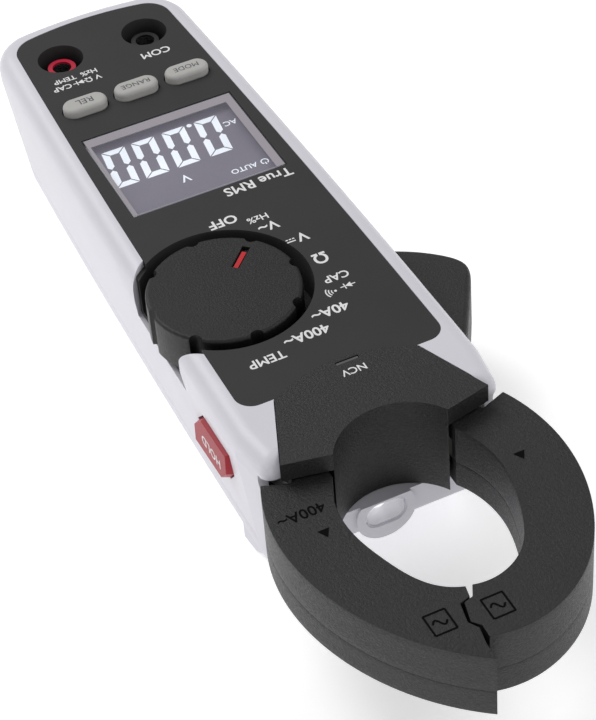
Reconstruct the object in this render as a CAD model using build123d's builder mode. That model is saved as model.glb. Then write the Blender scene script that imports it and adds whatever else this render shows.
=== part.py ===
from build123d import *
import os
from math import acos, cos, pi, radians, sin, tan

# Clamp meter: two geared jaws opened by a side trigger, a thumbwheel range dial,
# three face keys, a side hold key, a lit display, two shrouded 4 mm jacks and a torch.
# Frame: X across the meter, Y along it towards the jaws, Z out of its face, millimetres.
# The origin is the middle of the flat back, and X = 0 is the plane between the jaws.

os.makedirs("parts", exist_ok=True)

# ---------------------------------------------------------------- driving dimensions
# Casing heights
face_z = 36.5          # face panel, flush with the casing's rim
panel_t = 1.4          # face panel plate
deck_t = 1.6           # casing deck under the panel
belt_z = 31.0          # where the casing is widest
split_z = 9.0          # joint between the front and the back casing
side_draft = 6.5       # degrees, sides lean in towards the back
# Casing plan
end_y = -72.5          # far end, at its middle
end_bow = 2.3          # how far the far end's corners stand back
end_half = 20.9        # half width at the far end
middle_half = 23.15    # half width at the middle, at middle_y
middle_y = -8.0
belt_half = 24.3       # half width beside the jaw hinges, at belt_y
belt_y = 62.0
nose_half = 23.0       # half width at the shoulders' front
shoulder_y = 71.8      # front of the shoulders
jaw_slot_y = 69.2      # front edge of the side walls, at the jaws' height
end_radius = 9.5       # far corners
nose_radius = 2.4      # corners of the shoulders
rim_radius = 3.4       # rounding from the face to the sides
back_radius = 6.0      # rounding from the sides to the back
rim_inset = 3.9        # white rim round the panel
wall = 2.2
floor_t = 2.0

# Jaws
pivot_x = 13.5
pivot_y = 59.5
pin_r = 2.0
pin_clear = 0.05
pin_bottom = 4.5
pin_top = 34.8
jaw_top = 32.15
jaw_bottom = 18.0
jaw_seam = 23.7        # where the jaw's two shells meet
jaw_skin = 1.6
gear_bottom = 21.9
gear_top = 28.1
hub_r = 7.4
chamber_half = 21.4    # half width of the chamber that the hinges turn in
gear_teeth = 24        # teeth of the whole wheel that each sector is part of
bore_centre_y = 81.0
bore_r = 12.86
bore_wall_t = 2.0

# Dial
dial_x = 9.72
dial_y = 25.96
dial_r = 14.75
dial_top = 36.7
dial_bottom = 28.0
cup_r = 16.9
cup_wall = 1.0
cup_floor = 27.4
pointer_angle = 225.0

# Display, keys and jacks
window_x = -0.1
window_y = -15.35
window_w = 32.8
window_h = 27.5
key_y = -39.0
key_pitch = 11.3
key_w = 9.4
key_h = 4.7
key_top = 38.3
key_travel = 1.2
jack_x = 9.5
jack_y = -57.5
jack_r = 4.8
plug_r = 2.0
jack_depth = 9.7
jack_lip = 0.5
board_top = 24.6
board_t = 1.6

# Torch
torch_z = 12.7
torch_r = 6.0
apron_top = 16.0
apron_front = 70.5
apron_inner = 67.6

# Batteries
cell_r = 5.2
cell_length = 43.5
cell_pitch = 10.9
cell_y = -38.0
cell_z = 8.3
hatch_y = -36.25       # middle of the battery hatch
hatch_w = 23.2
hatch_l = 51.1
hatch_screw_y = -12.9

# Hold key, as (y, z) seen from the right
hold_outline = ((41.1, 17.3), (41.5, 22.5), (45.6, 26.8), (57.2, 26.9), (56.8, 21.2), (53.7, 17.6))

# Screw posts that hold the two halves of the casing together
posts = ((-7.5, -65.6), (7.5, -65.6), (-8.5, 46.9), (8.5, 46.9))
post_r = 2.7


# ---------------------------------------------------------------- shared outlines
def casing_plan(inset, front=shoulder_y, nose=0.0):
    """Plan of the casing moved in by inset, ending at front, its nose corners rounded by nose."""
    with BuildSketch() as plan:
        with BuildLine():
            far = ThreePointArc(
                (inset - end_half, end_y + end_bow + inset),
                (0, end_y + inset),
                (end_half - inset, end_y + end_bow + inset),
            )
            for side in (-1, 1):
                corner = far @ ((side + 1) / 2)
                middle = (side * (middle_half - inset), middle_y)
                belt = (side * (belt_half - inset), belt_y)
                Spline(corner, middle, belt)
            nose_x = nose_half - inset
            belt_x = belt_half - inset
            Polyline((belt_x, belt_y), (nose_x, front), (-nose_x, front), (-belt_x, belt_y))
        make_face()
        fillet(plan.vertices().group_by(Axis.Y)[0], end_radius - inset)
        if nose > 0:
            fillet(plan.vertices().group_by(Axis.Y)[-1], nose)
    return plan.sketch


def draft_at(z):
    """How far the casing's side has leaned in at height z."""
    return (belt_z - z) * tan(radians(side_draft))


def base_plan(gap):
    """Plan of the black jaw base cover, made larger by gap all round."""
    seam_r = 26.8 + gap
    seam_y = 80.3
    cusp_x = 14.3 + gap
    cusp_y = seam_y - (seam_r ** 2 - cusp_x ** 2) ** 0.5
    with BuildSketch() as plan:
        with BuildLine():
            seam = ThreePointArc((-cusp_x, cusp_y), (0, seam_y - seam_r), (cusp_x, cusp_y))
            Polyline(
                seam @ 1,
                (20.3 + gap, 72.7),
                (11.2, 74.7 + gap),
                (-11.2, 74.7 + gap),
                (-20.3 - gap, 72.7),
                seam @ 0,
            )
        make_face()
    return plan.sketch


def panel_outline(gap):
    """Plan of the face panel, made larger by gap: it ends at the jaw base cover's seam."""
    with BuildSketch() as plan:
        add(casing_plan(rim_inset - gap))
        with Locations((0, 80.3)):
            Circle(26.8 - gap, mode=Mode.SUBTRACT)
        with Locations((0, 75.0)):
            Rectangle(60, 35.2, mode=Mode.SUBTRACT)
        fillet(plan.vertices().filter_by(lambda v: abs(v.X) > 15).group_by(Axis.Y)[-1], 3.5)
    return plan.sketch


jaw_outer = {
    "right": ((23.9, 71.5), (27.1, 86.8), (22.9, 105.2), (16.2, 116.0), (6.95, 124.7)),
    "left": ((23.9, 71.5), (27.1, 86.8), (22.5, 105.4), (14.9, 115.2), (3.6, 120.6), (-5.7, 120.0)),
}
jaw_inner = {
    "right": ((3.95, 108.7), (7.9, 106.3), (12.9, 97.0), (15.0, 87.0), (14.35, 81.2), (12.0, 75.6)),
    "left": (
        (-2.8, 108.9), (3.0, 108.9), (7.9, 106.1), (12.9, 97.0), (15.0, 87.0), (14.35, 81.2), (12.0, 75.6)
    ),
}
jaw_mate = {
    "right": (
        (6.95, 124.7), (6.8, 120.9), (6.2, 117.6), (7.3, 115.7), (6.5, 111.6), (4.4, 111.0), (3.95, 108.7)
    ),
    "left": ((-5.7, 120.0), (-5.6, 117.4), (-6.85, 115.8), (-5.8, 111.7), (-3.85, 111.1), (-2.8, 108.9)),
}


def jaw_plan(side):
    """Plan of one jaw, drawn on the right: its ring, its neck and its hinge hub."""
    with BuildSketch() as plan:
        with BuildLine():
            Spline(*jaw_outer[side])
            Polyline(*jaw_mate[side])
            Spline(*jaw_inner[side])
            Polyline((12.0, 75.6), (12.0, 74.6), (18.84, 73.4), (23.9, 71.5))
        make_face()
        with BuildLine():
            Polyline(
                (12.0, 75.6),
                (12.0, 59.5),
                (20.67, 61.69),
                (17.6, 71.0),
                (18.84, 73.4),
                (16.5, 77.0),
                close=True,
            )
        make_face()
        with Locations((pivot_x, pivot_y)):
            Circle(hub_r)
    return plan.sketch


def shifted(curve, amount):
    """Points of a curve moved square to it by amount, into the jaw."""
    points = []
    for step in range(15):
        at = curve @ (step / 14)
        along = curve % (step / 14)
        points.append((at.X - along.Y * amount, at.Y + along.X * amount))
    return points


def ring_plan(side, amount, low_y, high_y, low_x):
    """Plan of a jaw's ring moved in by amount, cut to a range of Y and to X above low_x."""
    outer = shifted(Spline(*jaw_outer[side]), amount)
    inner = shifted(Spline(*jaw_inner[side]), amount)
    with BuildSketch() as plan:
        with BuildLine():
            Spline(*outer)
            Line(outer[-1], inner[0])
            Spline(*inner)
            Line(inner[-1], outer[0])
        make_face()
        with Locations(((low_x + 40.0) / 2, (low_y + high_y) / 2)):
            Rectangle(40.0 - low_x, high_y - low_y, mode=Mode.INTERSECT)
    return plan.sketch


def gear_tooth(angle):
    """Outline points of one involute tooth of the jaw gears, centred on angle."""
    pitch_r = pivot_x
    module = 2 * pitch_r / gear_teeth
    base_r = pitch_r * cos(radians(20))
    root_r = pitch_r - 1.25 * module
    tip_r = pitch_r + 0.9 * module
    backlash = 0.22
    half_at_pitch = (pi * module / 2 - backlash) / 2 / pitch_r
    pressure = tan(radians(20)) - radians(20)
    flank = [root_r]
    flank += [base_r + 0.05 + (tip_r - base_r - 0.05) * step / 4 for step in range(5)]
    half = []
    for r in flank:
        turn = acos(min(1.0, base_r / r))
        half.append(half_at_pitch + pressure - (tan(turn) - turn))
    rising = [(r, angle - h) for r, h in zip(flank, half)]
    falling = [(r, angle + h) for r, h in zip(reversed(flank), reversed(half))]
    return [(pivot_x + r * cos(a), pivot_y + r * sin(a)) for r, a in rising + falling]


def gear_plan(first_tooth, teeth):
    """A toothed sector with its hub and the arm that reaches into the jaw."""
    pitch_angle = 2 * pi / gear_teeth
    points = []
    for number in range(teeth):
        points += gear_tooth(radians(first_tooth) + number * pitch_angle)
    with BuildSketch() as plan:
        with BuildLine():
            Polyline((pivot_x, pivot_y), *points, close=True)
        make_face()
        with Locations((pivot_x, pivot_y)):
            Circle(5.6)
        with BuildLine():
            Polyline((12.8, 73.2), (12.8, 60.5), (18.3, 60.5), (16.6, 70.6), (17.4, 73.2), close=True)
        make_face()
        with Locations((pivot_x, pivot_y)):
            Circle(pin_r + pin_clear, mode=Mode.SUBTRACT)
    return plan.sketch


face_plan = casing_plan(0, nose=nose_radius)
split_plan = casing_plan(draft_at(split_z), nose=nose_radius)
panel_plan = panel_outline(0)
panel_seat = panel_outline(0.1)
cover_plan = base_plan(0)
cover_seat = base_plan(0.15)

# ---------------------------------------------------------------- front casing
with BuildPart() as front_casing:
    with BuildSketch(Plane.XY.offset(belt_z)):
        add(face_plan)
    extrude(amount=face_z - belt_z)
    fillet(front_casing.faces().sort_by(Axis.Z)[-1].edges(), rim_radius)
    with BuildSketch(Plane.XY.offset(split_z)):
        add(split_plan)
    with BuildSketch(Plane.XY.offset(belt_z)):
        add(face_plan)
    loft(ruled=True)
    # hollow inside, closed by the deck
    cavity_top = face_z - panel_t - deck_t
    with BuildSketch(Plane.XY.offset(split_z)):
        add(casing_plan(draft_at(split_z) + wall, 66.0))
    with BuildSketch(Plane.XY.offset(belt_z)):
        add(casing_plan(wall, 66.0))
    loft(ruled=True, mode=Mode.SUBTRACT)
    with BuildSketch(Plane.XY.offset(belt_z)):
        add(casing_plan(wall + 1.2, 50.0))
    extrude(amount=cavity_top - belt_z, mode=Mode.SUBTRACT)
    # seats of the face panel and of the jaw base cover
    with BuildSketch(Plane.XY.offset(face_z - panel_t)):
        add(panel_seat)
    extrude(amount=panel_t + 1, mode=Mode.SUBTRACT)
    with BuildSketch(Plane.XY.offset(jaw_top + 0.35)):
        add(cover_seat)
        with Locations((0, 76.0)):
            Rectangle(40.9, 6.6)
    extrude(amount=6, mode=Mode.SUBTRACT)
    # chamber and mouth of the jaws
    with Locations((0, 62.0, (split_z + jaw_top + 0.35) / 2)):
        Box(2 * chamber_half, 26.0, jaw_top + 0.35 - split_z, mode=Mode.SUBTRACT)
    with Locations((0, jaw_slot_y + 10, jaw_top / 2)):
        Box(60, 20, jaw_top + 0.7, mode=Mode.SUBTRACT)
    # windows of the display, the keys, the jacks and the dial
    with Locations((window_x, window_y, face_z - panel_t)):
        Box(window_w - 2.4, window_h - 2.4, 8, mode=Mode.SUBTRACT)
    with BuildSketch(Plane.XY.offset(cavity_top - 1)):
        with Locations([(n * key_pitch, key_y) for n in (-1, 0, 1)]):
            SlotOverall(key_w + 0.9, key_h + 0.9)
        with Locations((-jack_x, jack_y), (jack_x, jack_y)):
            Circle(jack_r + 1.1)
    extrude(amount=6, mode=Mode.SUBTRACT)
    with Locations((dial_x, dial_y, cup_floor - 1.1)):
        Cylinder(
            cup_r + cup_wall + 0.1,
            20,
            align=(Align.CENTER, Align.CENTER, Align.MIN),
            mode=Mode.SUBTRACT,
        )
    # hold key window on the right, trigger slot on the left
    with BuildSketch(Plane.YZ.offset(16)):
        with BuildLine():
            Polyline(*hold_outline, close=True)
        make_face()
        offset(amount=0.2, kind=Kind.INTERSECTION)
    extrude(amount=12, mode=Mode.SUBTRACT)
    with Locations((-22, 35.2, (split_z + 22.4) / 2)):
        Box(16, 48.6, 22.4 - split_z, mode=Mode.SUBTRACT)
    # screw posts
    for post_x, post_y in posts:
        with Locations((post_x, post_y, split_z)):
            Cylinder(post_r, cavity_top - split_z + 0.5, align=(Align.CENTER, Align.CENTER, Align.MIN))
            Cylinder(1.3, 14, align=(Align.CENTER, Align.CENTER, Align.MIN), mode=Mode.SUBTRACT)
    # sockets of the hinge pins
    with Locations((-pivot_x, pivot_y, jaw_top), (pivot_x, pivot_y, jaw_top)):
        Cylinder(
            pin_r,
            pin_top - jaw_top,
            align=(Align.CENTER, Align.CENTER, Align.MIN),
            mode=Mode.SUBTRACT,
        )
front_casing.part.label = "front_casing"
export_step(front_casing.part, "parts/front_casing.step")

# ---------------------------------------------------------------- back casing
back_joint_plan = casing_plan(draft_at(split_z))
back_floor_plan = casing_plan(draft_at(0))
back_hollow_plan = casing_plan(draft_at(split_z) + wall + 2.0, 57.0)

with BuildPart() as back_hollow:
    with BuildSketch(Plane.XY.offset(floor_t)):
        add(back_hollow_plan)
    extrude(amount=split_z)
    # sloping floor under the hinges, up to the back of the apron
    with BuildSketch(Plane.YZ.offset(-18.4)):
        with BuildLine():
            Polyline(
                (52, 20),
                (52, floor_t),
                (56.2, floor_t),
                (apron_inner, 10.2),
                (apron_inner, 20),
                close=True,
            )
        make_face()
    extrude(amount=36.8)
    # what stays standing in the hollow: the hinge bosses and the screw bosses
    for boss_x in (-pivot_x, pivot_x):
        with Locations((boss_x, pivot_y, 0)):
            Cylinder(4.2, split_z, align=(Align.CENTER, Align.CENTER, Align.MIN), mode=Mode.SUBTRACT)
    for post_x, post_y in posts:
        with Locations((post_x, post_y, 0)):
            Cylinder(3.4, split_z, align=(Align.CENTER, Align.CENTER, Align.MIN), mode=Mode.SUBTRACT)

with BuildPart() as back_casing:
    with BuildSketch(Plane.XY.offset(split_z)):
        add(back_joint_plan)
    with BuildSketch():
        add(back_floor_plan)
    loft(ruled=True)
    fillet(back_casing.faces().sort_by(Axis.Z)[0].edges(), back_radius)
    # squarer foot under the jaw hinges, and the apron below the jaws
    with BuildSketch():
        with BuildLine():
            Polyline(
                (-20.9, 52.6),
                (20.9, 52.6),
                (20.2, 62.0),
                (19.8, apron_front),
                (-19.8, apron_front),
                (-20.2, 62.0),
                close=True,
            )
        make_face()
    extrude(amount=split_z)
    with BuildSketch(Plane.XY.offset(split_z)):
        with BuildLine():
            Polyline((-20.6, 66.0), (20.6, 66.0), (20.2, apron_front), (-20.2, apron_front), close=True)
        make_face()
    extrude(amount=apron_top - split_z)
    add(back_hollow.part, mode=Mode.SUBTRACT)
    with BuildSketch(Plane.YZ.offset(-30)):
        with BuildLine():
            Polyline(
                (57.0, -0.1),
                (apron_front - 1.5, 8.2),
                (apron_front + 0.2, 10.4),
                (80, 10.4),
                (80, -0.1),
                close=True,
            )
        make_face()
    extrude(amount=60, mode=Mode.SUBTRACT)
    with Locations((0, apron_front + 10, 12)):
        Box(80, 20, 26, mode=Mode.SUBTRACT)
    # torch nose and its barrel
    with BuildSketch(Plane.XZ.offset(-apron_front - 0.6)):
        with Locations((0, torch_z)):
            Circle(torch_r)
        with Locations((0, apron_top + 5)):
            Rectangle(20, 10, mode=Mode.SUBTRACT)
    extrude(amount=6.0)
    with BuildSketch(Plane.XZ.offset(-apron_front - 2)):
        with Locations((0, torch_z)):
            RectangleRounded(8.4, 5.8, 2.6)
    extrude(amount=14, mode=Mode.SUBTRACT)
    # battery hatch opening, pin holes and counterbored screw holes
    with Locations((0, hatch_y, 0)):
        Box(hatch_w + 0.4, hatch_l + 0.4, 2 * floor_t + 1, mode=Mode.SUBTRACT)
    for side_x in (-pivot_x, pivot_x):
        with Locations((side_x, pivot_y, pin_bottom)):
            Cylinder(pin_r, 8.0, align=(Align.CENTER, Align.CENTER, Align.MIN), mode=Mode.SUBTRACT)
    for post_x, post_y in posts:
        with Locations((post_x, post_y, -0.5)):
            Cylinder(2.4, 4.5, align=(Align.CENTER, Align.CENTER, Align.MIN), mode=Mode.SUBTRACT)
            Cylinder(1.4, 12, align=(Align.CENTER, Align.CENTER, Align.MIN), mode=Mode.SUBTRACT)
back_casing.part.label = "back_casing"
export_step(back_casing.part, "parts/back_casing.step")

with BuildPart() as battery_hatch:
    with BuildSketch(Plane.XY.offset(0.2)):
        with Locations((0, hatch_y)):
            RectangleRounded(hatch_w, hatch_l, 1.0)
    extrude(amount=floor_t - 0.4)
    with Locations((0, hatch_screw_y, 0)):
        Cylinder(2.3, 1.4, align=(Align.CENTER, Align.CENTER, Align.MIN), mode=Mode.SUBTRACT)
        Cylinder(1.3, 5, mode=Mode.SUBTRACT)
    # finger ribs
    with Locations([(0, hatch_y - 22.5 + 1.8 * n, 0.2) for n in range(5)]):
        Box(14, 0.8, 0.8, mode=Mode.SUBTRACT)
battery_hatch.part.label = "battery_hatch"
export_step(battery_hatch.part, "parts/battery_hatch.step")

with BuildPart() as hatch_screw:
    with Locations((0, hatch_screw_y, 0.35)):
        Cylinder(2.1, 1.05, align=(Align.CENTER, Align.CENTER, Align.MIN))
        Cylinder(1.2, 7.5, align=(Align.CENTER, Align.CENTER, Align.MIN))
        Box(3.0, 0.6, 0.8, mode=Mode.SUBTRACT)
        Box(0.6, 3.0, 0.8, mode=Mode.SUBTRACT)
hatch_screw.part.label = "hatch_screw"
export_step(hatch_screw.part, "parts/hatch_screw.step")

with BuildPart() as casing_screws:
    for post_x, post_y in posts:
        with Locations((post_x, post_y, 2.2)):
            Cylinder(2.3, 1.8, align=(Align.CENTER, Align.CENTER, Align.MIN))
            Box(3.2, 0.7, 1.4, mode=Mode.SUBTRACT)
            Box(0.7, 3.2, 1.4, mode=Mode.SUBTRACT)
        with Locations((post_x, post_y, 4.0)):
            Cylinder(1.25, 13.5, align=(Align.CENTER, Align.CENTER, Align.MIN))
casing_screws.part.label = "casing_screws"
export_step(casing_screws.part, "parts/casing_screws.step")

# ---------------------------------------------------------------- face panel
with BuildPart() as face_panel:
    with BuildSketch(Plane.XY.offset(face_z - panel_t)):
        add(panel_plan)
        with Locations((window_x, window_y)):
            Rectangle(window_w, window_h, mode=Mode.SUBTRACT)
        with Locations([(n * key_pitch, key_y) for n in (-1, 0, 1)]):
            SlotOverall(key_w + 0.5, key_h + 0.5, mode=Mode.SUBTRACT)
        with Locations((-jack_x, jack_y), (jack_x, jack_y)):
            Circle(jack_r, mode=Mode.SUBTRACT)
        with Locations((dial_x, dial_y)):
            Circle(cup_r, mode=Mode.SUBTRACT)
    extrude(amount=panel_t)
    # cup that the dial sits in, open where the dial stands out of the side
    with BuildSketch(Plane.XY.offset(cup_floor - 1)):
        with Locations((dial_x, dial_y)):
            Circle(cup_r + cup_wall)
        add(casing_plan(1.4), mode=Mode.INTERSECT)
    extrude(amount=face_z - panel_t - cup_floor + 1)
    with Locations((dial_x, dial_y, cup_floor)):
        Cylinder(cup_r, 20, align=(Align.CENTER, Align.CENTER, Align.MIN), mode=Mode.SUBTRACT)
        Cylinder(4.2, 10, mode=Mode.SUBTRACT)
    # shrouds round the jacks
    with BuildSketch(Plane.XY.offset(board_top + 0.1)):
        with Locations((-jack_x, jack_y), (jack_x, jack_y)):
            Circle(jack_r + 0.6)
            Circle(jack_r, mode=Mode.SUBTRACT)
    extrude(amount=face_z - panel_t - board_top - 0.1)
face_panel.part.label = "face_panel"
export_step(face_panel.part, "parts/face_panel.step")

# ---------------------------------------------------------------- jaw base cover
with BuildPart() as jaw_base_cover:
    with BuildSketch(Plane.XY.offset(jaw_top + 0.45)):
        add(cover_plan)
    extrude(amount=face_z - jaw_top - 0.45)
    with BuildSketch(Plane.XY.offset(apron_top + 0.2)):
        with Locations((0, bore_centre_y)):
            Circle(bore_r + bore_wall_t)
        with Locations((0, 70.0)):
            Rectangle(22.4, 10.6, mode=Mode.INTERSECT)
    extrude(amount=face_z - apron_top - 0.2 - 1)
    with Locations((0, bore_centre_y, 0)):
        Cylinder(bore_r, 90, mode=Mode.SUBTRACT)
    # sockets for the hinge pins, and the slot of the light pipe
    for side_x in (-pivot_x, pivot_x):
        with Locations((side_x, pivot_y, jaw_top)):
            Cylinder(
                pin_r,
                pin_top - jaw_top,
                align=(Align.CENTER, Align.CENTER, Align.MIN),
                mode=Mode.SUBTRACT,
            )
    with Locations((-1.5, 54.7, face_z)):
        Box(4.6, 0.8, 12, mode=Mode.SUBTRACT)
jaw_base_cover.part.label = "jaw_base_cover"
export_step(jaw_base_cover.part, "parts/jaw_base_cover.step")

with BuildPart() as field_light_pipe:
    with Locations((-1.5, 54.7, jaw_top + 0.5)):
        Box(4.4, 0.6, face_z - jaw_top - 0.7, align=(Align.CENTER, Align.CENTER, Align.MIN))
field_light_pipe.part.label = "field_light_pipe"
export_step(field_light_pipe.part, "parts/field_light_pipe.step")

# ---------------------------------------------------------------- display
with BuildPart() as display_window:
    with BuildSketch(Plane.XY.offset(face_z - 1.3)):
        with Locations((window_x, window_y)):
            Rectangle(window_w - 0.3, window_h - 0.3)
    extrude(amount=1.2)
display_window.part.label = "display_window"
export_step(display_window.part, "parts/display_window.step")

with BuildPart() as display_glass:
    with Locations((window_x, window_y, 33.25)):
        Box(30.0, 24.6, 1.8, align=(Align.CENTER, Align.CENTER, Align.MIN))
display_glass.part.label = "display_glass"
export_step(display_glass.part, "parts/display_glass.step")

with BuildPart() as display_backlight:
    with Locations((window_x, window_y, 31.4)):
        Box(29.4, 19.0, 1.6, align=(Align.CENTER, Align.CENTER, Align.MIN))
display_backlight.part.label = "display_backlight"
export_step(display_backlight.part, "parts/display_backlight.step")

with BuildPart() as display_holder:
    with Locations((window_x, window_y, board_top)):
        Box(33.4, 27.6, 8.6, align=(Align.CENTER, Align.CENTER, Align.MIN))
        Box(30.2, 24.8, 9, align=(Align.CENTER, Align.CENTER, Align.MIN), mode=Mode.SUBTRACT)
display_holder.part.label = "display_holder"
export_step(display_holder.part, "parts/display_holder.step")

with BuildPart() as contact_strips:
    with Locations((window_x, window_y - 11.2, board_top), (window_x, window_y + 11.2, board_top)):
        Box(28.0, 1.8, 8.6, align=(Align.CENTER, Align.CENTER, Align.MIN))
contact_strips.part.label = "contact_strips"
export_step(contact_strips.part, "parts/contact_strips.step")

# ---------------------------------------------------------------- circuit board
with BuildPart() as circuit_board:
    with BuildSketch(Plane.XY.offset(board_top - board_t)):
        add(casing_plan(wall + 1.9, 43.5))
        with Locations((0, 60)):
            Rectangle(60, 33, mode=Mode.SUBTRACT)
        with Locations(posts):
            Circle(post_r + 0.3, mode=Mode.SUBTRACT)
    extrude(amount=board_t)
circuit_board.part.label = "circuit_board"
export_step(circuit_board.part, "parts/circuit_board.step")

with BuildPart() as range_contacts:
    with BuildSketch(Plane.XY.offset(board_top)):
        with Locations((dial_x, dial_y)):
            for ring_r in (5.0, 7.0, 9.0):
                Circle(ring_r + 0.5)
                Circle(ring_r - 0.5, mode=Mode.SUBTRACT)
    extrude(amount=0.1)
range_contacts.part.label = "range_contacts"
export_step(range_contacts.part, "parts/range_contacts.step")

with BuildPart() as key_switches:
    with Locations([(n * key_pitch, key_y, board_top) for n in (-1, 0, 1)]):
        Box(6.0, 5.0, 1.8, align=(Align.CENTER, Align.CENTER, Align.MIN))
        Cylinder(1.5, 2.4, align=(Align.CENTER, Align.CENTER, Align.MIN))
    with Locations((10.7, 41.4, 18.4)):
        Box(3.0, 3.8, 4.6, align=(Align.CENTER, Align.CENTER, Align.MIN))
key_switches.part.label = "key_switches"
export_step(key_switches.part, "parts/key_switches.step")

with BuildPart() as measuring_chip:
    with Locations((-8.0, 30.0, board_top)):
        Box(10.0, 10.0, 1.4, align=(Align.CENTER, Align.CENTER, Align.MIN))
    with Locations((-8.0, 10.0, board_top)):
        Box(5.0, 4.0, 1.6, align=(Align.CENTER, Align.CENTER, Align.MIN))
measuring_chip.part.label = "measuring_chip"
export_step(measuring_chip.part, "parts/measuring_chip.step")

with BuildPart() as buzzer:
    with Locations((2.0, 4.0, board_top - board_t - 3.0)):
        Cylinder(5.5, 3.0, align=(Align.CENTER, Align.CENTER, Align.MIN))
        Cylinder(1.0, 1.0, align=(Align.CENTER, Align.CENTER, Align.MIN), mode=Mode.SUBTRACT)
buzzer.part.label = "buzzer"
export_step(buzzer.part, "parts/buzzer.step")

# ---------------------------------------------------------------- jacks
for label, jack_side in (("volts_jack_sleeve", 1), ("common_jack_sleeve", -1)):
    with BuildPart() as jack_sleeve:
        with Locations((jack_side * jack_x, jack_y, board_top)):
            Cylinder(2.95, jack_depth, align=(Align.CENTER, Align.CENTER, Align.MIN))
            Cylinder(
                2.4,
                jack_depth - jack_lip,
                align=(Align.CENTER, Align.CENTER, Align.MIN),
                mode=Mode.SUBTRACT,
            )
            Cylinder(plug_r, 12, align=(Align.CENTER, Align.CENTER, Align.MIN), mode=Mode.SUBTRACT)
    jack_sleeve.part.label = label
    export_step(jack_sleeve.part, f"parts/{label}.step")

with BuildPart() as jack_contacts:
    with Locations((-jack_x, jack_y, board_top), (jack_x, jack_y, board_top)):
        Cylinder(2.4, jack_depth - jack_lip, align=(Align.CENTER, Align.CENTER, Align.MIN))
        Cylinder(plug_r, 12, align=(Align.CENTER, Align.CENTER, Align.MIN), mode=Mode.SUBTRACT)
jack_contacts.part.label = "jack_contacts"
export_step(jack_contacts.part, "parts/jack_contacts.step")

# ---------------------------------------------------------------- batteries and torch
with BuildPart() as batteries:
    for cell_side, tip_way in ((-0.5, 1), (0.5, -1)):
        with Locations(Location((cell_side * cell_pitch, cell_y, cell_z), (90, 0, 0))):
            Cylinder(cell_r, cell_length)
        with Locations(Location((cell_side * cell_pitch, cell_y + tip_way * 1.0, cell_z), (90, 0, 0))):
            Cylinder(1.9, cell_length)
batteries.part.label = "batteries"
export_step(batteries.part, "parts/batteries.step")

with BuildPart() as battery_contacts:
    for cell_side in (-0.5, 0.5):
        for end in (-1, 1):
            with Locations((cell_side * cell_pitch, cell_y + end * (cell_length / 2 + 1.25), cell_z - 0.3)):
                Box(7.2, 0.4, 7.6)
battery_contacts.part.label = "battery_contacts"
export_step(battery_contacts.part, "parts/battery_contacts.step")

with BuildPart() as battery_cradle:
    with Locations((0, cell_y, 8.8)):
        Box(23.8, 48.0, 12.0)
    with Locations((0, cell_y, 6.2)):
        Box(22.2, 46.6, 15.0, mode=Mode.SUBTRACT)
    with Locations((0, hatch_screw_y, 2.8)):
        Cylinder(2.4, 8.0, align=(Align.CENTER, Align.CENTER, Align.MIN))
        Cylinder(1.3, 7.0, align=(Align.CENTER, Align.CENTER, Align.MIN), mode=Mode.SUBTRACT)
    with Locations((0, cell_y, 6.2)):
        Box(22.2, 46.6, 15.0, mode=Mode.SUBTRACT)
battery_cradle.part.label = "battery_cradle"
export_step(battery_cradle.part, "parts/battery_cradle.step")

with BuildPart() as torch_lens:
    with BuildSketch(Plane.XZ.offset(-apron_front - 0.3)):
        with Locations((0, torch_z)):
            RectangleRounded(8.2, 5.6, 2.5)
    extrude(amount=2.0)
    fillet(torch_lens.faces().sort_by(Axis.Y)[-1].edges(), 0.6)
torch_lens.part.label = "torch_lens"
export_step(torch_lens.part, "parts/torch_lens.step")

with BuildPart() as torch_lamp:
    with Locations(Location((0, 63.0, torch_z), (-90, 0, 0))):
        Cylinder(2.2, 3.2, align=(Align.CENTER, Align.CENTER, Align.MIN))
    with Locations((0, 66.2, torch_z)):
        Sphere(2.2)
torch_lamp.part.label = "torch_lamp"
export_step(torch_lamp.part, "parts/torch_lamp.step")

# ---------------------------------------------------------------- hinge pins and spring
with BuildPart() as hinge_pins:
    with Locations((-pivot_x, pivot_y, pin_bottom), (pivot_x, pivot_y, pin_bottom)):
        Cylinder(pin_r, pin_top - pin_bottom, align=(Align.CENTER, Align.CENTER, Align.MIN))
hinge_pins.part.label = "hinge_pins"
export_step(hinge_pins.part, "parts/hinge_pins.step")

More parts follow.
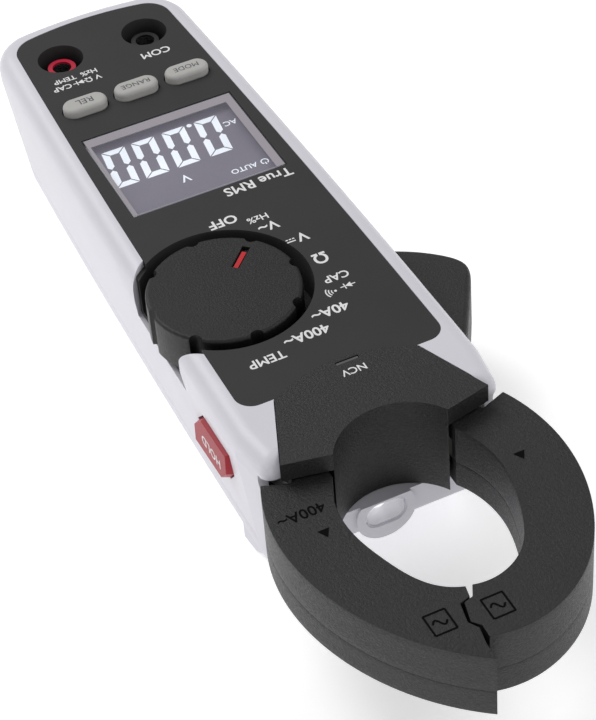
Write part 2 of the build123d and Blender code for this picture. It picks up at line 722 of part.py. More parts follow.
# ---------------------------------------------------------------- jaws, once for each side
first_tooth = {"right": 180.0, "left": 172.5}
ring_end = {"right": 9.0, "left": -1.2}
for side in ("right", "left"):
    outline = jaw_plan(side)
    gear = gear_plan(first_tooth[side], 3)
    cavity = ring_plan(side, jaw_skin, 76.0, 123.0, ring_end[side])
    core_cut = ring_plan(side, 3.8, 78.0, 119.0, ring_end[side] + 0.3)
    bobbin_cut = ring_plan(side, 3.1, 82.5, 98.5, 5.0)
    hole_cut = ring_plan(side, 3.7, 77.0, 105.0, 5.0)
    flange_cuts = [ring_plan(side, 1.9, flange_y, flange_y + 0.8, 5.0) for flange_y in (82.5, 97.7)]
    coil_cut = ring_plan(side, 2.2, 83.4, 97.6, 5.0)
    coil_hole = ring_plan(side, 3.0, 77.0, 105.0, 5.0)
    with BuildPart() as jaw_upper:
        with BuildSketch(Plane.XY.offset(jaw_seam)):
            add(outline)
        extrude(amount=jaw_top - jaw_seam)
        with Locations((10, 60.0, (jaw_seam + gear_top + 0.05) / 2)):
            Box(60, 28.4, gear_top + 0.05 - jaw_seam, mode=Mode.SUBTRACT)
        with BuildSketch(Plane.XY.offset(jaw_seam)):
            add(cavity)
        extrude(amount=jaw_top - jaw_skin - jaw_seam, mode=Mode.SUBTRACT)
        with Locations((pivot_x, pivot_y, 0)):
            Cylinder(pin_r + pin_clear, 90, mode=Mode.SUBTRACT)
        if side == "left":
            mirror(about=Plane.YZ, mode=Mode.REPLACE)
    jaw_upper.part.label = f"{side}_jaw_upper"
    export_step(jaw_upper.part, f"parts/{side}_jaw_upper.step")

    with BuildPart() as jaw_lower:
        with BuildSketch(Plane.XY.offset(jaw_bottom)):
            add(outline)
        extrude(amount=jaw_seam - jaw_bottom)
        with Locations((10, 60.0, (jaw_seam + gear_bottom - 0.05) / 2)):
            Box(60, 28.4, jaw_seam - gear_bottom + 0.05, mode=Mode.SUBTRACT)
        with BuildSketch(Plane.XY.offset(jaw_bottom + jaw_skin)):
            add(cavity)
        extrude(amount=jaw_seam - jaw_bottom, mode=Mode.SUBTRACT)
        with Locations((pivot_x, pivot_y, 0)):
            Cylinder(pin_r + pin_clear, 90, mode=Mode.SUBTRACT)
        if side == "left":
            with Locations((pivot_x - 4.4, pivot_y + 1.0, 18.0), (pivot_x + 3.6, pivot_y + 3.6, 18.0)):
                Cylinder(0.9, 7, mode=Mode.SUBTRACT)
            mirror(about=Plane.YZ, mode=Mode.REPLACE)
    jaw_lower.part.label = f"{side}_jaw_lower"
    export_step(jaw_lower.part, f"parts/{side}_jaw_lower.step")

    with BuildPart() as jaw_gear:
        with BuildSketch(Plane.XY.offset(gear_bottom)):
            add(gear)
        extrude(amount=gear_top - gear_bottom)
        if side == "left":
            mirror(about=Plane.YZ, mode=Mode.REPLACE)
    jaw_gear.part.label = f"{side}_jaw_gear"
    export_step(jaw_gear.part, f"parts/{side}_jaw_gear.step")

    with BuildPart() as core:
        with BuildSketch(Plane.XY.offset(22.0)):
            add(core_cut)
        extrude(amount=6.2)
        if side == "left":
            mirror(about=Plane.YZ, mode=Mode.REPLACE)
    core.part.label = f"{side}_core"
    export_step(core.part, f"parts/{side}_core.step")

    with BuildPart() as bobbin:
        with BuildSketch(Plane.XY.offset(21.2)):
            add(bobbin_cut)
        extrude(amount=7.8)
        with BuildSketch(Plane.XY.offset(20.0)):
            for flange_cut in flange_cuts:
                add(flange_cut)
        extrude(amount=10.2)
        with BuildSketch(Plane.XY.offset(21.9)):
            add(hole_cut)
        extrude(amount=6.4, mode=Mode.SUBTRACT)
        if side == "left":
            mirror(about=Plane.YZ, mode=Mode.REPLACE)
    bobbin.part.label = f"{side}_bobbin"
    export_step(bobbin.part, f"parts/{side}_bobbin.step")

    with BuildPart() as winding:
        with BuildSketch(Plane.XY.offset(20.3)):
            add(coil_cut)
        extrude(amount=9.6)
        with BuildSketch(Plane.XY.offset(21.1)):
            add(coil_hole)
        extrude(amount=8.0, mode=Mode.SUBTRACT)
        if side == "left":
            mirror(about=Plane.YZ, mode=Mode.REPLACE)
    winding.part.label = f"{side}_winding"
    export_step(winding.part, f"parts/{side}_winding.step")

# ---------------------------------------------------------------- trigger
with BuildPart() as trigger:
    with BuildSketch(Plane.XY.offset(9.2)):
        with BuildLine():
            rim = Spline(
                (21.3, 13.3), (29.4, 15.9), (37.4, 21.7), (40.6, 27.0), (38.7, 32.3), (29.4, 47.9),
                tangents=((1.0, 0.1), (-0.5, 0.85)),
            )
            Polyline(rim @ 1, (27.2, 51.6), (20.0, 51.0), (18.8, 38.0), rim @ 0)
        make_face()
    extrude(amount=12.8)
    fillet(trigger.faces().sort_by(Axis.Z)[-1].edges() + trigger.faces().sort_by(Axis.Z)[0].edges(), 1.2)
    with BuildSketch(Plane.XY.offset(12.2)):
        with BuildLine():
            Polyline(
                (27.4, 45.0),
                (28.4, 49.0),
                (24.2, 56.6),
                (20.6, 60.2),
                (13.5, 59.5),
                (14.4, 52.4),
                (19.6, 45.0),
                close=True,
            )
        make_face()
        with Locations((pivot_x, pivot_y)):
            Circle(hub_r)
    extrude(amount=5.6)
    with Locations((pivot_x, pivot_y, 0)):
        Cylinder(pin_r + pin_clear, 90, mode=Mode.SUBTRACT)
    # screws into the jaw's lower shell
    with Locations((pivot_x - 4.4, pivot_y + 1.0, 12.2), (pivot_x + 3.6, pivot_y + 3.6, 12.2)):
        Cylinder(0.9, 12, align=(Align.CENTER, Align.CENTER, Align.MIN), mode=Mode.SUBTRACT)
    mirror(about=Plane.YZ, mode=Mode.REPLACE)
trigger.part.label = "trigger"
export_step(trigger.part, "parts/trigger.step")

with BuildPart() as trigger_screws:
    with Locations((pivot_x - 4.4, pivot_y + 1.0, 11.2), (pivot_x + 3.6, pivot_y + 3.6, 11.2)):
        Cylinder(1.5, 1.0, align=(Align.CENTER, Align.CENTER, Align.MIN))
        Cylinder(0.9, 10.0, align=(Align.CENTER, Align.CENTER, Align.MIN))
    mirror(about=Plane.YZ, mode=Mode.REPLACE)
trigger_screws.part.label = "trigger_screws"
export_step(trigger_screws.part, "parts/trigger_screws.step")

# Torsion spring round the left hinge pin, under the trigger's hub
with BuildPart() as jaw_spring:
    with BuildLine(Plane((-pivot_x, pivot_y, 9.6))) as coil_line:
        Helix(pitch=0.62, height=1.24, radius=2.75)
    with BuildSketch(Plane(coil_line.line @ 0, z_dir=coil_line.line % 0)):
        Circle(0.25)
    sweep(path=coil_line.line)
jaw_spring.part.label = "jaw_spring"
export_step(jaw_spring.part, "parts/jaw_spring.step")

# ---------------------------------------------------------------- dial
with BuildPart() as range_dial:
    with Locations((dial_x, dial_y, dial_bottom)):
        Cylinder(dial_r, dial_top - dial_bottom, align=(Align.CENTER, Align.CENTER, Align.MIN))
    fillet(range_dial.faces().sort_by(Axis.Z)[-1].edges(), 0.7)
    with Locations((dial_x, dial_y, dial_bottom)):
        with PolarLocations(dial_r + 0.2, 8):
            Cylinder(1.35, 20, mode=Mode.SUBTRACT)
    with Locations((dial_x, dial_y, 26.2)):
        Cylinder(4.0, 3.0, align=(Align.CENTER, Align.CENTER, Align.MIN))
    with Locations(Location((dial_x, dial_y, dial_top), (0, 0, pointer_angle))):
        with Locations((9.0, 0, 0)):
            Box(6.2, 1.6, 1.6, mode=Mode.SUBTRACT)
range_dial.part.label = "range_dial"
export_step(range_dial.part, "parts/range_dial.step")

with BuildPart() as dial_pointer:
    with Locations(Location((dial_x, dial_y, dial_top - 0.8), (0, 0, pointer_angle))):
        with Locations((8.5, 0, 0)):
            Box(4.8, 0.9, 0.5, align=(Align.CENTER, Align.CENTER, Align.MIN))
dial_pointer.part.label = "dial_pointer"
export_step(dial_pointer.part, "parts/dial_pointer.step")

with BuildPart() as dial_rotor:
    with Locations((dial_x, dial_y, 25.2)):
        Cylinder(10.5, 1.0, align=(Align.CENTER, Align.CENTER, Align.MIN))
dial_rotor.part.label = "dial_rotor"
export_step(dial_rotor.part, "parts/dial_rotor.step")

with BuildPart() as dial_wipers:
    with Locations(Location((dial_x, dial_y, board_top + 0.14), (0, 0, pointer_angle))):
        with Locations((5.0, 0, 0), (7.0, 0, 0), (9.0, 0, 0)):
            Box(0.8, 3.0, 0.46, align=(Align.CENTER, Align.CENTER, Align.MIN))
dial_wipers.part.label = "dial_wipers"
export_step(dial_wipers.part, "parts/dial_wipers.step")

# ---------------------------------------------------------------- keys
for label, key_place in (("mode_key", -1), ("range_key", 0), ("rel_key", 1)):
    with BuildPart() as key:
        with BuildSketch(Plane.XY.offset(34.6)):
            with Locations((key_place * key_pitch, key_y)):
                SlotOverall(key_w, key_h)
        extrude(amount=key_top - 34.6)
        fillet(key.faces().sort_by(Axis.Z)[-1].edges(), 0.9)
        with BuildSketch(Plane.XY.offset(31.8)):
            with Locations((key_place * key_pitch, key_y)):
                SlotOverall(key_w + 1.5, key_h + 2.2)
        extrude(amount=1.5)
        with BuildSketch(Plane.XY.offset(33.2)):
            with Locations((key_place * key_pitch, key_y)):
                SlotOverall(key_w, key_h)
        extrude(amount=1.5)
        with Locations((key_place * key_pitch, key_y, board_top + 2.4 + key_travel + 0.1)):
            Cylinder(1.3, 4.0, align=(Align.CENTER, Align.CENTER, Align.MIN))
    key.part.label = label
    export_step(key.part, f"parts/{label}.step")

with BuildPart() as hold_key:
    with BuildSketch(Plane.YZ.offset(22.4)):
        with BuildLine():
            Polyline(*hold_outline, close=True)
        make_face()
    extrude(amount=2.0, taper=18)
    with Locations((20.9, 46.6, 22.0)):
        Box(3.2, 5.4, 5.4)
    # flange that keeps the key in, and the stem that meets its switch
    with Locations((19.2, 47.2, 21.9)):
        Box(0.8, 6.6, 11.6)
    with Locations((19.2, 44.5, 19.6)):
        Box(0.8, 5.8, 5.2)
    with Locations((15.95, 42.9, 21.0)):
        Box(5.7, 2.6, 2.6)
hold_key.part.label = "hold_key"
export_step(hold_key.part, "parts/hold_key.step")
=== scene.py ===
import math

import bpy
from mathutils import Matrix, Vector


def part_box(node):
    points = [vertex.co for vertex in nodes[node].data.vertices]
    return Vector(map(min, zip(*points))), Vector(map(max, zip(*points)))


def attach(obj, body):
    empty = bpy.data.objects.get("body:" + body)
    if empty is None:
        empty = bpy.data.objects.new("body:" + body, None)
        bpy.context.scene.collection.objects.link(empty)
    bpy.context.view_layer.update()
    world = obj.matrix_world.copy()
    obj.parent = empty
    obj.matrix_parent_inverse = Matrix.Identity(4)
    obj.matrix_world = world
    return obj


# Looks of the clamp meter: materials on the CAD parts, printed and moulded marks, the lit
# display, the studio floor, the lights and the camera. Lengths below are in millimetres.

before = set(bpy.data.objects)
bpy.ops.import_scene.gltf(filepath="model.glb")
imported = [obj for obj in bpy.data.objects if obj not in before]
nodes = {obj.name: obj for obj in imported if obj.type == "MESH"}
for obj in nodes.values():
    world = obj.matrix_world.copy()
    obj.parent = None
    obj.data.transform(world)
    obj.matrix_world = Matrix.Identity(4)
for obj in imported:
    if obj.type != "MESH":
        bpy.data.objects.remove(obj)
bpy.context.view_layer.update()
MM = 0.001

# ------------------------------------------------------------------ named values
FACE = 36.5            # top of the face panel
PRINT = 0.03           # thickness of printed ink
LIT = 0.02             # thickness of a lit bar or letter of the display
MOULD = 0.05           # height of a mark moulded on the jaws
FINE_LINE = 0.24       # line widths of the drawn symbols
BOLD_LINE = 0.28
FRAME_LINE = 0.35
JAW_TOP = 32.15
KEY_TOP = 38.3
KEY_SINK = 0.02        # how far the keys' ink lies in its key
KEY_Y = -39.0
KEY_PITCH = 11.3
DIGIT_LEFTS = (-10.8, -3.7, 3.0, 9.4)
DIGIT_FOOT = -23.6     # where the digits stand along the face
DIGIT_WIDTH = 4.95
DIGIT_HEIGHT = 12.0
DIGIT_SLANT = 1.5
DIGIT_BAR = 1.45
MASK_OPENING = (-14.4, -26.3, 15.3, -2.1)    # lowest x and y, then highest
MASK_EDGE = 0.2        # bare edge of the window round its mask
FLOOR_DROP = 0.5       # the floor lies this far under the back
EASE = 0.002           # corners closer than this are one corner
CAMERA_AT = (126.35, 343.31, 330.66)
CAMERA_AIM = (-8.75, 13.99, 0.0)
CAMERA_ROLL = -4.97    # degrees about the line of sight
CAMERA_LENS = 120.6


# ------------------------------------------------------------------ materials
def new_material(name):
    """An empty node material: returns it, its node tree and its Principled shader."""
    mat = bpy.data.materials.new(name)
    mat.use_nodes = True
    tree = mat.node_tree
    return mat, tree, tree.nodes["Principled BSDF"]


def noise(tree, coords, scale, detail=4.0, rough=0.55):
    """A noise texture on the object's own coordinates, its features 1/scale metres wide."""
    node = tree.nodes.new("ShaderNodeTexNoise")
    node.inputs["Scale"].default_value = scale
    node.inputs["Detail"].default_value = detail
    node.inputs["Roughness"].default_value = rough
    tree.links.new(coords.outputs["Object"], node.inputs["Vector"])
    return node


def spread(tree, source, low, high):
    """Maps a texture's middle range onto low..high."""
    node = tree.nodes.new("ShaderNodeMapRange")
    node.inputs["From Min"].default_value = 0.3
    node.inputs["From Max"].default_value = 0.7
    node.inputs["To Min"].default_value = low
    node.inputs["To Max"].default_value = high
    tree.links.new(source, node.inputs["Value"])
    return node


def moulded(name, colour, vary=0.08, rough=(0.4, 0.5), grain=2500.0, depth=0.02, specular=0.5):
    """Moulded plastic: uneven tone, uneven gloss and a spark-eroded grain depth millimetres deep."""
    mat, tree, shader = new_material(name)
    coords = tree.nodes.new("ShaderNodeTexCoord")
    cloud = noise(tree, coords, 90.0, 3.0)
    speck = noise(tree, coords, grain, 6.0, 0.65)
    ramp = tree.nodes.new("ShaderNodeValToRGB")
    ramp.color_ramp.elements[0].position = 0.3
    ramp.color_ramp.elements[1].position = 0.7
    ramp.color_ramp.elements[0].color = (*[c * (1 - vary) for c in colour], 1)
    ramp.color_ramp.elements[1].color = (*[min(1.0, c * (1 + vary)) for c in colour], 1)
    tree.links.new(cloud.outputs["Fac"], ramp.inputs["Fac"])
    tree.links.new(ramp.outputs["Color"], shader.inputs["Base Color"])
    gloss = spread(tree, speck.outputs["Fac"], *rough)
    tree.links.new(gloss.outputs["Result"], shader.inputs["Roughness"])
    bump = tree.nodes.new("ShaderNodeBump")
    bump.inputs["Strength"].default_value = 1.0
    bump.inputs["Distance"].default_value = depth * MM
    tree.links.new(speck.outputs["Fac"], bump.inputs["Height"])
    tree.links.new(bump.outputs["Normal"], shader.inputs["Normal"])
    shader.inputs["Specular IOR Level"].default_value = specular
    return mat


def metal(name, colour, rough=(0.2, 0.35), along=(1.0, 1.0, 40.0)):
    """Drawn or turned metal with fine marks along one axis."""
    mat, tree, shader = new_material(name)
    coords = tree.nodes.new("ShaderNodeTexCoord")
    stretch = tree.nodes.new("ShaderNodeMapping")
    stretch.inputs["Scale"].default_value = along
    tree.links.new(coords.outputs["Object"], stretch.inputs["Vector"])
    marks = tree.nodes.new("ShaderNodeTexNoise")
    marks.inputs["Scale"].default_value = 300.0
    marks.inputs["Detail"].default_value = 5.0
    tree.links.new(stretch.outputs["Vector"], marks.inputs["Vector"])
    ramp = tree.nodes.new("ShaderNodeValToRGB")
    ramp.color_ramp.elements[0].color = (*[c * 0.8 for c in colour], 1)
    ramp.color_ramp.elements[1].color = (*colour, 1)
    tree.links.new(marks.outputs["Fac"], ramp.inputs["Fac"])
    tree.links.new(ramp.outputs["Color"], shader.inputs["Base Color"])
    gloss = spread(tree, marks.outputs["Fac"], *rough)
    tree.links.new(gloss.outputs["Result"], shader.inputs["Roughness"])
    bump = tree.nodes.new("ShaderNodeBump")
    bump.inputs["Strength"].default_value = 0.6
    bump.inputs["Distance"].default_value = 0.01 * MM
    tree.links.new(marks.outputs["Fac"], bump.inputs["Height"])
    tree.links.new(bump.outputs["Normal"], shader.inputs["Normal"])
    shader.inputs["Metallic"].default_value = 1.0
    return mat


def clear(name, colour, alpha, rough=(0.02, 0.06)):
    """Thin clear plastic: gloss over what lies behind, with faint handling marks."""
    mat = moulded(name, colour, 0.02, rough, 600.0, 0.0005)
    shader = mat.node_tree.nodes["Principled BSDF"]
    shader.inputs["Alpha"].default_value = alpha
    mat.surface_render_method = "BLENDED"
    return mat


def glowing(name, colour, strength, vary=0.05):
    """A lit surface of the display."""
    mat = moulded(name, colour, vary, (0.35, 0.45), 1500.0, 0.001)
    tree = mat.node_tree
    shader = tree.nodes["Principled BSDF"]
    ramp = next(n for n in tree.nodes if n.type == "VALTORGB")
    tree.links.new(ramp.outputs["Color"], shader.inputs["Emission Color"])
    shader.inputs["Emission Strength"].default_value = strength
    return mat


WHITE = moulded("white_shell", (0.67, 0.66, 0.715), 0.012, (0.34, 0.42), 2600.0, 0.006, 0.45)
PANEL = moulded("grey_panel", (0.026, 0.026, 0.0265), 0.06, (0.50, 0.62), 4200.0, 0.012, 0.35)
GRAINED = moulded("grained_black", (0.008, 0.008, 0.0085), 0.15, (0.34, 0.60), 2000.0, 0.220, 0.50)
DIAL_BLACK = moulded("dial_black", (0.008, 0.008, 0.0085), 0.15, (0.36, 0.56), 2400.0, 0.120, 0.40)
KEY_GREY = moulded("key_grey", (0.43, 0.425, 0.41), 0.05, (0.55, 0.7), 3000.0, 0.015, 0.35)
HOLD_RED = moulded("hold_red", (0.34, 0.003, 0.016), 0.06, (0.38, 0.48), 2500.0, 0.008, 0.3)
POINTER_RED = moulded("pointer_red", (0.55, 0.012, 0.02), 0.06, (0.35, 0.45), 2500.0, 0.008)
RED = moulded("red_plastic", (0.55, 0.015, 0.05), 0.06, (0.25, 0.35), 2500.0, 0.008)
BLACK = moulded("black_plastic", (0.018, 0.018, 0.018), 0.08, (0.3, 0.42), 2500.0, 0.01)
INK = moulded("white_ink", (0.80, 0.80, 0.80), 0.03, (0.5, 0.6), 3000.0, 0.002)
DARK_INK = moulded("dark_ink", (0.06, 0.06, 0.07), 0.03, (0.5, 0.6), 3000.0, 0.002)
MARK = moulded("moulded_mark", (0.003, 0.003, 0.003), 0.05, (0.7, 0.8), 2500.0, 0.004, 0.05)
MASK = moulded("display_mask", (0.34, 0.315, 0.35), 0.02, (0.30, 0.38), 2500.0, 0.002)
LCD = glowing("display_ground", (0.100, 0.092, 0.125), 0.55)
SEGMENT = glowing("display_segment", (0.62, 0.66, 0.72), 0.62)
HOLDER = moulded("display_holder", (0.4, 0.39, 0.4), 0.04, (0.4, 0.5))
SMOKED = moulded("smoked_light_pipe", (0.11, 0.11, 0.115), 0.05, (0.2, 0.3), 2500.0, 0.003)
SILICONE = moulded("silicone", (0.4, 0.4, 0.42), 0.05, (0.5, 0.7))
BOARD = moulded("board", (0.015, 0.12, 0.04), 0.15, (0.3, 0.5), 900.0, 0.02)
CHIP = moulded("chip_black", (0.015, 0.015, 0.016), 0.05, (0.45, 0.6))
INNER = moulded("white_inner", (0.62, 0.62, 0.58), 0.04, (0.4, 0.55))
CELL = moulded("battery_sleeve", (0.06, 0.05, 0.045), 0.2, (0.25, 0.35), 700.0, 0.004)
COPPER = metal("copper", (0.72, 0.36, 0.2))
STEEL = metal("spring_steel", (0.56, 0.56, 0.57))
IRON = metal("core_iron", (0.30, 0.30, 0.30), (0.4, 0.6), (1.0, 1.0, 25.0))
WINDOW = clear("clear_window", (0.75, 0.75, 0.78), 0.06)
TORCH = glowing("torch_lamp", (0.95, 0.95, 0.97), 1.2)
OPTIC = clear("lamp_lens", (0.95, 0.95, 0.96), 0.30, (0.03, 0.08))

CAD_LOOKS = {
    WHITE: ("front_casing", "back_casing", "battery_hatch"),
    PANEL: ("face_panel",),
    GRAINED: (
        "jaw_base_cover", "left_jaw_upper", "left_jaw_lower", "right_jaw_upper", "right_jaw_lower",
        "trigger",
    ),
    DIAL_BLACK: ("range_dial",),
    KEY_GREY: ("mode_key", "range_key", "rel_key"),
    HOLD_RED: ("hold_key",),
    POINTER_RED: ("dial_pointer",),
    RED: ("volts_jack_sleeve",),
    BLACK: ("common_jack_sleeve", "battery_cradle", "key_switches", "buzzer"),
    HOLDER: ("display_holder", "display_backlight"),
    SMOKED: ("field_light_pipe",),
    SILICONE: ("contact_strips",),
    LCD: ("display_glass",),
    WINDOW: ("display_window",),
    BOARD: ("circuit_board",),
    CHIP: ("measuring_chip",),
    INNER: ("left_jaw_gear", "right_jaw_gear", "left_bobbin", "right_bobbin", "dial_rotor"),
    CELL: ("batteries",),
    COPPER: ("range_contacts", "dial_wipers", "left_winding", "right_winding"),
    STEEL: (
        "jack_contacts", "battery_contacts", "hinge_pins", "trigger_screws", "jaw_spring", "hatch_screw",
        "casing_screws",
    ),
    IRON: ("left_core", "right_core"),
    OPTIC: ("torch_lens",),
    TORCH: ("torch_lamp",),
}
for look, names in CAD_LOOKS.items():
    for name in names:
        mesh = nodes[name].data
        mesh.materials.clear()
        mesh.materials.append(look)

# Soft mould edges on the hard-edged parts
for name, width in {
    "left_jaw_upper": 0.45, "right_jaw_upper": 0.45, "left_jaw_lower": 0.45, "right_jaw_lower": 0.45,
    "jaw_base_cover": 0.25, "face_panel": 0.12, "front_casing": 0.2, "back_casing": 0.25,
    "battery_hatch": 0.15, "range_dial": 0.2, "hold_key": 0.25,
}.items():
    weld = nodes[name].modifiers.new("weld", "WELD")
    weld.merge_threshold = EASE * MM
    soften = nodes[name].modifiers.new("soften", "BEVEL")
    soften.width = width * MM
    soften.segments = 2
    soften.limit_method = "ANGLE"
    soften.angle_limit = math.radians(50)
    soften.harden_normals = False


# ------------------------------------------------------------------ printed and moulded marks
def lay(obj, place, along, up, body, look):
    """Puts a flat mark at place, its writing direction along and its top towards up."""
    x_axis = Vector(along).normalized()
    y_axis = Vector(up).normalized()
    turn = Matrix((x_axis, y_axis, x_axis.cross(y_axis))).transposed().to_4x4()
    obj.data.transform(Matrix.Translation(Vector(place) * MM) @ turn)
    obj.data.materials.clear()
    obj.data.materials.append(look)
    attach(obj, body)
    return obj


def solid_mark(name, outlines, thick):
    """A thin solid of one or more flat outlines, in millimetres, centred on their plane."""
    vertices = []
    faces = []
    for outline in outlines:
        start = len(vertices)
        count = len(outline)
        vertices += [(x * MM, y * MM, 0) for x, y in outline]
        vertices += [(x * MM, y * MM, thick * MM) for x, y in outline]
        faces.append([start + k for k in reversed(range(count))])
        faces.append([start + count + k for k in range(count)])
        for k in range(count):
            after = (k + 1) % count
            faces.append([start + k, start + after, start + count + after, start + count + k])
    mesh = bpy.data.meshes.new(name)
    mesh.from_pydata(vertices, [], faces)
    mesh.update()
    obj = bpy.data.objects.new(name, mesh)
    bpy.context.collection.objects.link(obj)
    return obj


def words(name, text, width, thick=PRINT, bold=0.0):
    """Lettering of a given width, centred on its own middle, as a thin solid mesh."""
    curve = bpy.data.curves.new(name, "FONT")
    curve.body = text
    curve.align_x = "CENTER"
    curve.size = 1.0
    curve.bevel_depth = bold
    curve.bevel_resolution = 0
    curve.resolution_u = 3
    curve.extrude = 0.01
    maker = bpy.data.objects.new(name + "_text", curve)
    bpy.context.collection.objects.link(maker)
    bpy.context.view_layer.update()
    mesh = bpy.data.meshes.new_from_object(maker.evaluated_get(bpy.context.evaluated_depsgraph_get()))
    bpy.data.objects.remove(maker)
    low = Vector([min(v.co[k] for v in mesh.vertices) for k in range(3)])
    high = Vector([max(v.co[k] for v in mesh.vertices) for k in range(3)])
    middle = (low + high) / 2
    factor = width / (high.x - low.x)
    for v in mesh.vertices:
        v.co.x = (v.co.x - middle.x) * factor * MM
        v.co.y = (v.co.y - middle.y) * factor * MM
        v.co.z = thick * MM if v.co.z > middle.z else 0.0
    obj = bpy.data.objects.new(name, mesh)
    bpy.context.collection.objects.link(obj)
    return obj


def stroke(points, width):
    """Outlines of a line drawn through points, one rectangle for each run."""
    outlines = []
    for (x0, y0), (x1, y1) in zip(points, points[1:]):
        run = math.hypot(x1 - x0, y1 - y0)
        nx = -(y1 - y0) / run * width / 2
        ny = (x1 - x0) / run * width / 2
        outlines.append([(x0 - nx, y0 - ny), (x1 - nx, y1 - ny), (x1 + nx, y1 + ny), (x0 + nx, y0 + ny)])
    return outlines


def arc(cx, cy, r, start, end, steps=8):
    """Points round an arc, its angles in degrees."""
    turn = [math.radians(start + (end - start) * k / steps) for k in range(steps + 1)]
    return [(cx + r * math.cos(a), cy + r * math.sin(a)) for a in turn]


def panel_words(name, text, x0, x1, y, bold=0.0):
    """Lettering on the face panel between x0 and x1, its middle at y."""
    obj = words(name, text, x1 - x0, PRINT, bold)
    return lay(obj, ((x0 + x1) / 2, y, FACE), (1, 0, 0), (0, 1, 0), "casing", INK)


def panel_glyph(name, outlines, x, y):
    """A drawn symbol on the face panel."""
    obj = solid_mark(name, outlines, PRINT)
    return lay(obj, (x, y, FACE), (1, 0, 0), (0, 1, 0), "casing", INK)


for name, text, x0, x1, y, bold in (
    ("label_true_rms", "True RMS", -16.4, -2.0, 0.6, 0.016),
    ("label_com", "COM", -11.9, -5.6, -49.3, 0.016),
    ("label_volts", "V Ω     CAP", 4.3, 14.9, -47.6, 0.016),
    ("label_hz_temp", "Hz%  TEMP", 4.4, 13.9, -50.0, 0.016),
    ("label_off", "OFF", -0.9, 4.9, 8.4, 0.022),
    ("label_ac_volts", "V~", -7.2, -3.1, 13.8, 0.022),
    ("label_hz", "Hz%", -6.4, -2.2, 10.7, 0.012),
    ("label_dc_volts", "V", -10.6, -8.3, 19.8, 0.022),
    ("label_ohms", "Ω", -11.1, -8.3, 27.2, 0.022),
    ("label_cap", "CAP", -12.4, -7.4, 33.4, 0.016),
    ("label_40a", "40A~", -8.4, -1.0, 41.4, 0.022),
    ("label_400a", "400A~", -2.6, 6.4, 45.2, 0.022),
    ("label_temp", "TEMP", 7.4, 14.6, 47.6, 0.016),
):
    panel_words(name, text, x0, x1, y, bold)

direct = stroke([(-0.9, 0.35), (0.9, 0.35)], BOLD_LINE)
for dash_start, dash_end in ((-0.9, -0.45), (-0.22, 0.22), (0.45, 0.9)):
    direct += stroke([(dash_start, -0.35), (dash_end, -0.35)], BOLD_LINE)
panel_glyph("mark_dc", direct, -7.0, 19.8)
DIODE = [[(-0.7, 0.7), (0.55, 0), (-0.7, -0.7)]] + stroke([(0.62, 0.75), (0.62, -0.75)], 0.22) \
    + stroke([(-1.5, 0), (-0.7, 0)], 0.22) + stroke([(0.7, 0), (1.5, 0)], 0.22)
panel_glyph("mark_diode", DIODE, -10.7, 36.6)
BUZZER = [arc(-1.0, 0, 0.28, 0, 315, 7)]
for radius in (0.75, 1.3, 1.85):
    BUZZER += stroke(arc(-1.0, 0, radius, -38, 38, 6), FINE_LINE)
panel_glyph("mark_buzzer", BUZZER, -7.0, 36.9)
panel_glyph("mark_jack_diode", DIODE, 9.0, -47.7)

cover_words = words("label_ncv", "NCV", 4.8, PRINT, 0.01)
lay(cover_words, (-1.4, 57.6, FACE), (1, 0, 0), (0, 1, 0), "casing", INK)

# ------------------------------------------------------------------ the display
lcd_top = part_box("display_glass")[1][2] / MM
window_low, window_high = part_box("display_window")


def behind(x, y, z):
    """The place at height z that the camera sees in line with x, y on the face."""
    sight = Vector(CAMERA_AIM) - Vector(CAMERA_AT)
    drop = (FACE - z) / -sight.z
    return x + sight.x * drop, y + sight.y * drop


def digit_zero(width, height, slant, bar):
    """The six lit bars of a seven-bar zero, its lower left corner at the origin."""
    gap = 0.18
    half = bar / 2
    middle = height / 2
    bars = []
    for y in (0.0, height):
        inner = 1 if y == 0 else -1
        bars.append([
            (gap, y), (width - gap, y), (width - gap - bar, y + inner * bar), (gap + bar, y + inner * bar)
        ])
    upright = [
        (0, gap), (bar, gap + bar), (bar, middle - gap - half),
        (half, middle - gap), (0, middle - gap - half),
    ]
    for flip_x in (False, True):
        for flip_y in (False, True):
            bars.append([
                (width - x if flip_x else x, height - y if flip_y else y) for x, y in upright
            ])
    return [[(x + y / height * slant, y) for x, y in outline] for outline in bars]


def lit(name, obj, x, y):
    """Lays a lit mark on the display glass where the camera sees x, y."""
    seen_x, seen_y = behind(x, y, lcd_top)
    lay(obj, (seen_x, seen_y, lcd_top), (1, 0, 0), (0, 1, 0), "casing", SEGMENT)


for number, left in enumerate(DIGIT_LEFTS):
    zero = digit_zero(DIGIT_WIDTH, DIGIT_HEIGHT, DIGIT_SLANT, DIGIT_BAR)
    lit(f"digit_{number}", solid_mark(f"digit_{number}", zero, LIT), left, DIGIT_FOOT)
lit("decimal_point", solid_mark("decimal_point", [arc(0, 0, 0.55, 0, 330, 11)], LIT), -4.7, -23.1)
lit("display_volts", words("display_volts", "V", 2.0, LIT, 0.015), 2.7, -7.9)
lit("display_auto", words("display_auto", "AUTO", 5.6, LIT, 0.01), -8.7, -4.9)
lit("display_ac", words("display_ac", "AC", 2.9, LIT, 0.01), -12.4, -19.8)
POWER = stroke(arc(0, 0, 0.75, 120, 420, 12), 0.25) + stroke([(0, 0.3), (0, 1.0)], 0.25)
lit("display_power", solid_mark("display_power", POWER, LIT), -13.1, -4.9)

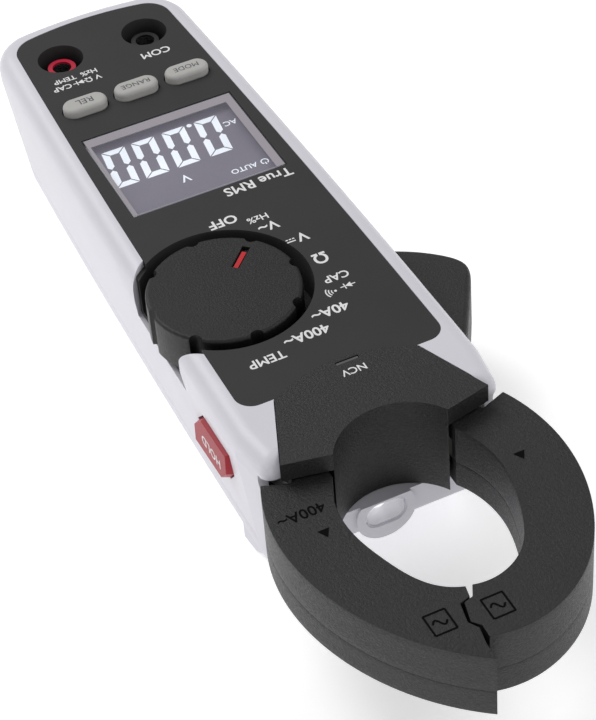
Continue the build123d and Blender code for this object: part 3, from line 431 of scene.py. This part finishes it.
# Printed mask round the display, on the inside of the window's face
outer = [edge / MM + MASK_EDGE for edge in window_low[:2]]
outer += [edge / MM - MASK_EDGE for edge in window_high[:2]]
inner = MASK_OPENING
mask_bars = [
    [(outer[0], outer[1]), (outer[2], outer[1]), (outer[2], inner[1]), (outer[0], inner[1])],
    [(outer[0], inner[3]), (outer[2], inner[3]), (outer[2], outer[3]), (outer[0], outer[3])],
    [(outer[0], inner[1]), (inner[0], inner[1]), (inner[0], inner[3]), (outer[0], inner[3])],
    [(inner[2], inner[1]), (outer[2], inner[1]), (outer[2], inner[3]), (inner[2], inner[3])],
]
mask = solid_mark("display_mask", mask_bars, PRINT)
lay(mask, (0, 0, window_high[2] / MM - 0.005), (1, 0, 0), (0, 1, 0), "casing", MASK)

# ------------------------------------------------------------------ keys
for name, place, width in (("mode", -1, 5.4), ("range", 0, 6.2), ("rel", 1, 3.6)):
    letters = words(f"key_words_{name}", name.upper(), width, PRINT, 0.003)
    spot = (place * KEY_PITCH, KEY_Y, KEY_TOP - KEY_SINK)
    lay(letters, spot, (1, 0, 0), (0, 1, 0), f"{name}_button", DARK_INK)

hold_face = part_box("hold_key")[1][0] / MM
hold_words = words("key_words_hold", "HOLD", 8.2, PRINT, 0.012)
lay(hold_words, (hold_face, 49.6, 21.6), (0, -1, 0), (0, 0, -1), "hold_button", INK)

# ------------------------------------------------------------------ moulded marks on the jaws
right_words = words("jaw_words_amps", "400A~", 8.8, MOULD, 0.01)
lay(right_words, (20.6, 81.1, JAW_TOP), (1, 0, 0), (0, 1, 0), "right_jaw", MARK)
for side, sign in (("right", 1), ("left", -1)):
    pointer = solid_mark(f"jaw_arrow_{side}", [[(-1.1, -1.0), (1.1, -1.0), (0, 1.0)]], MOULD)
    lay(pointer, (sign * 18.9, 87.0, JAW_TOP), (1, 0, 0), (0, 1, 0), f"{side}_jaw", MARK)
    box = stroke([(-2, -2.3), (2, -2.3), (2, 2.3), (-2, 2.3), (-2, -2.3)], FRAME_LINE)
    wave = stroke([(-1.3 + 0.26 * k, 0.75 * math.sin(2 * math.pi * k / 10)) for k in range(11)], FRAME_LINE)
    frame_mark = solid_mark(f"jaw_frame_{side}", box + wave, MOULD)
    place = (11.3, 113.6) if side == "right" else (1.3, 114.9)
    lay(frame_mark, (*place, JAW_TOP), (1, 0, 0), (0, 1, 0), f"{side}_jaw", MARK)

# ------------------------------------------------------------------ studio
bpy.ops.mesh.primitive_plane_add(size=4.0, location=(0, 0, -FLOOR_DROP * MM))
floor = bpy.context.active_object
floor.name = "studio_floor"
PAPER = glowing("studio_paper", (0.92, 0.92, 0.92), 0.42, 0.01)
floor.data.materials.append(PAPER)

world = bpy.data.worlds.new("studio")
world.use_nodes = True
world.node_tree.nodes["Background"].inputs["Color"].default_value = (1.0, 1.0, 1.0, 1.0)
world.node_tree.nodes["Background"].inputs["Strength"].default_value = 0.42
bpy.context.scene.world = world


def soft_light(name, at, aim, size, power):
    """A large square studio lamp at a place, aimed at another, in metres."""
    data = bpy.data.lights.new(name, "AREA")
    data.size = size
    data.energy = power
    lamp = bpy.data.objects.new(name, data)
    lamp.location = at
    lamp.rotation_euler = (Vector(aim) - Vector(at)).to_track_quat("-Z", "Y").to_euler()
    bpy.context.collection.objects.link(lamp)


soft_light("key_light", (0.30, -0.55, 0.75), (0, 0.02, 0), 0.6, 4.8)
soft_light("fill_light", (-0.6, 0.35, 0.55), (0, 0.02, 0), 0.6, 1.6)
soft_light("front_light", (0.35, 0.80, 0.12), (0, 0.06, 0.01), 0.4, 1.1)

# ------------------------------------------------------------------ camera
camera_data = bpy.data.cameras.new("camera")
camera_data.lens = CAMERA_LENS
camera_data.sensor_width = 36.0
camera = bpy.data.objects.new("camera", camera_data)
sight = Vector(CAMERA_AIM) - Vector(CAMERA_AT)
facing = sight.to_track_quat("-Z", "Y").to_matrix().to_4x4()
roll = Matrix.Rotation(math.radians(CAMERA_ROLL), 4, "Z")
camera.matrix_world = Matrix.Translation(Vector(CAMERA_AT) * MM) @ facing @ roll
bpy.context.collection.objects.link(camera)
bpy.context.scene.camera = camera
bpy.context.scene.view_settings.view_transform = "Standard"
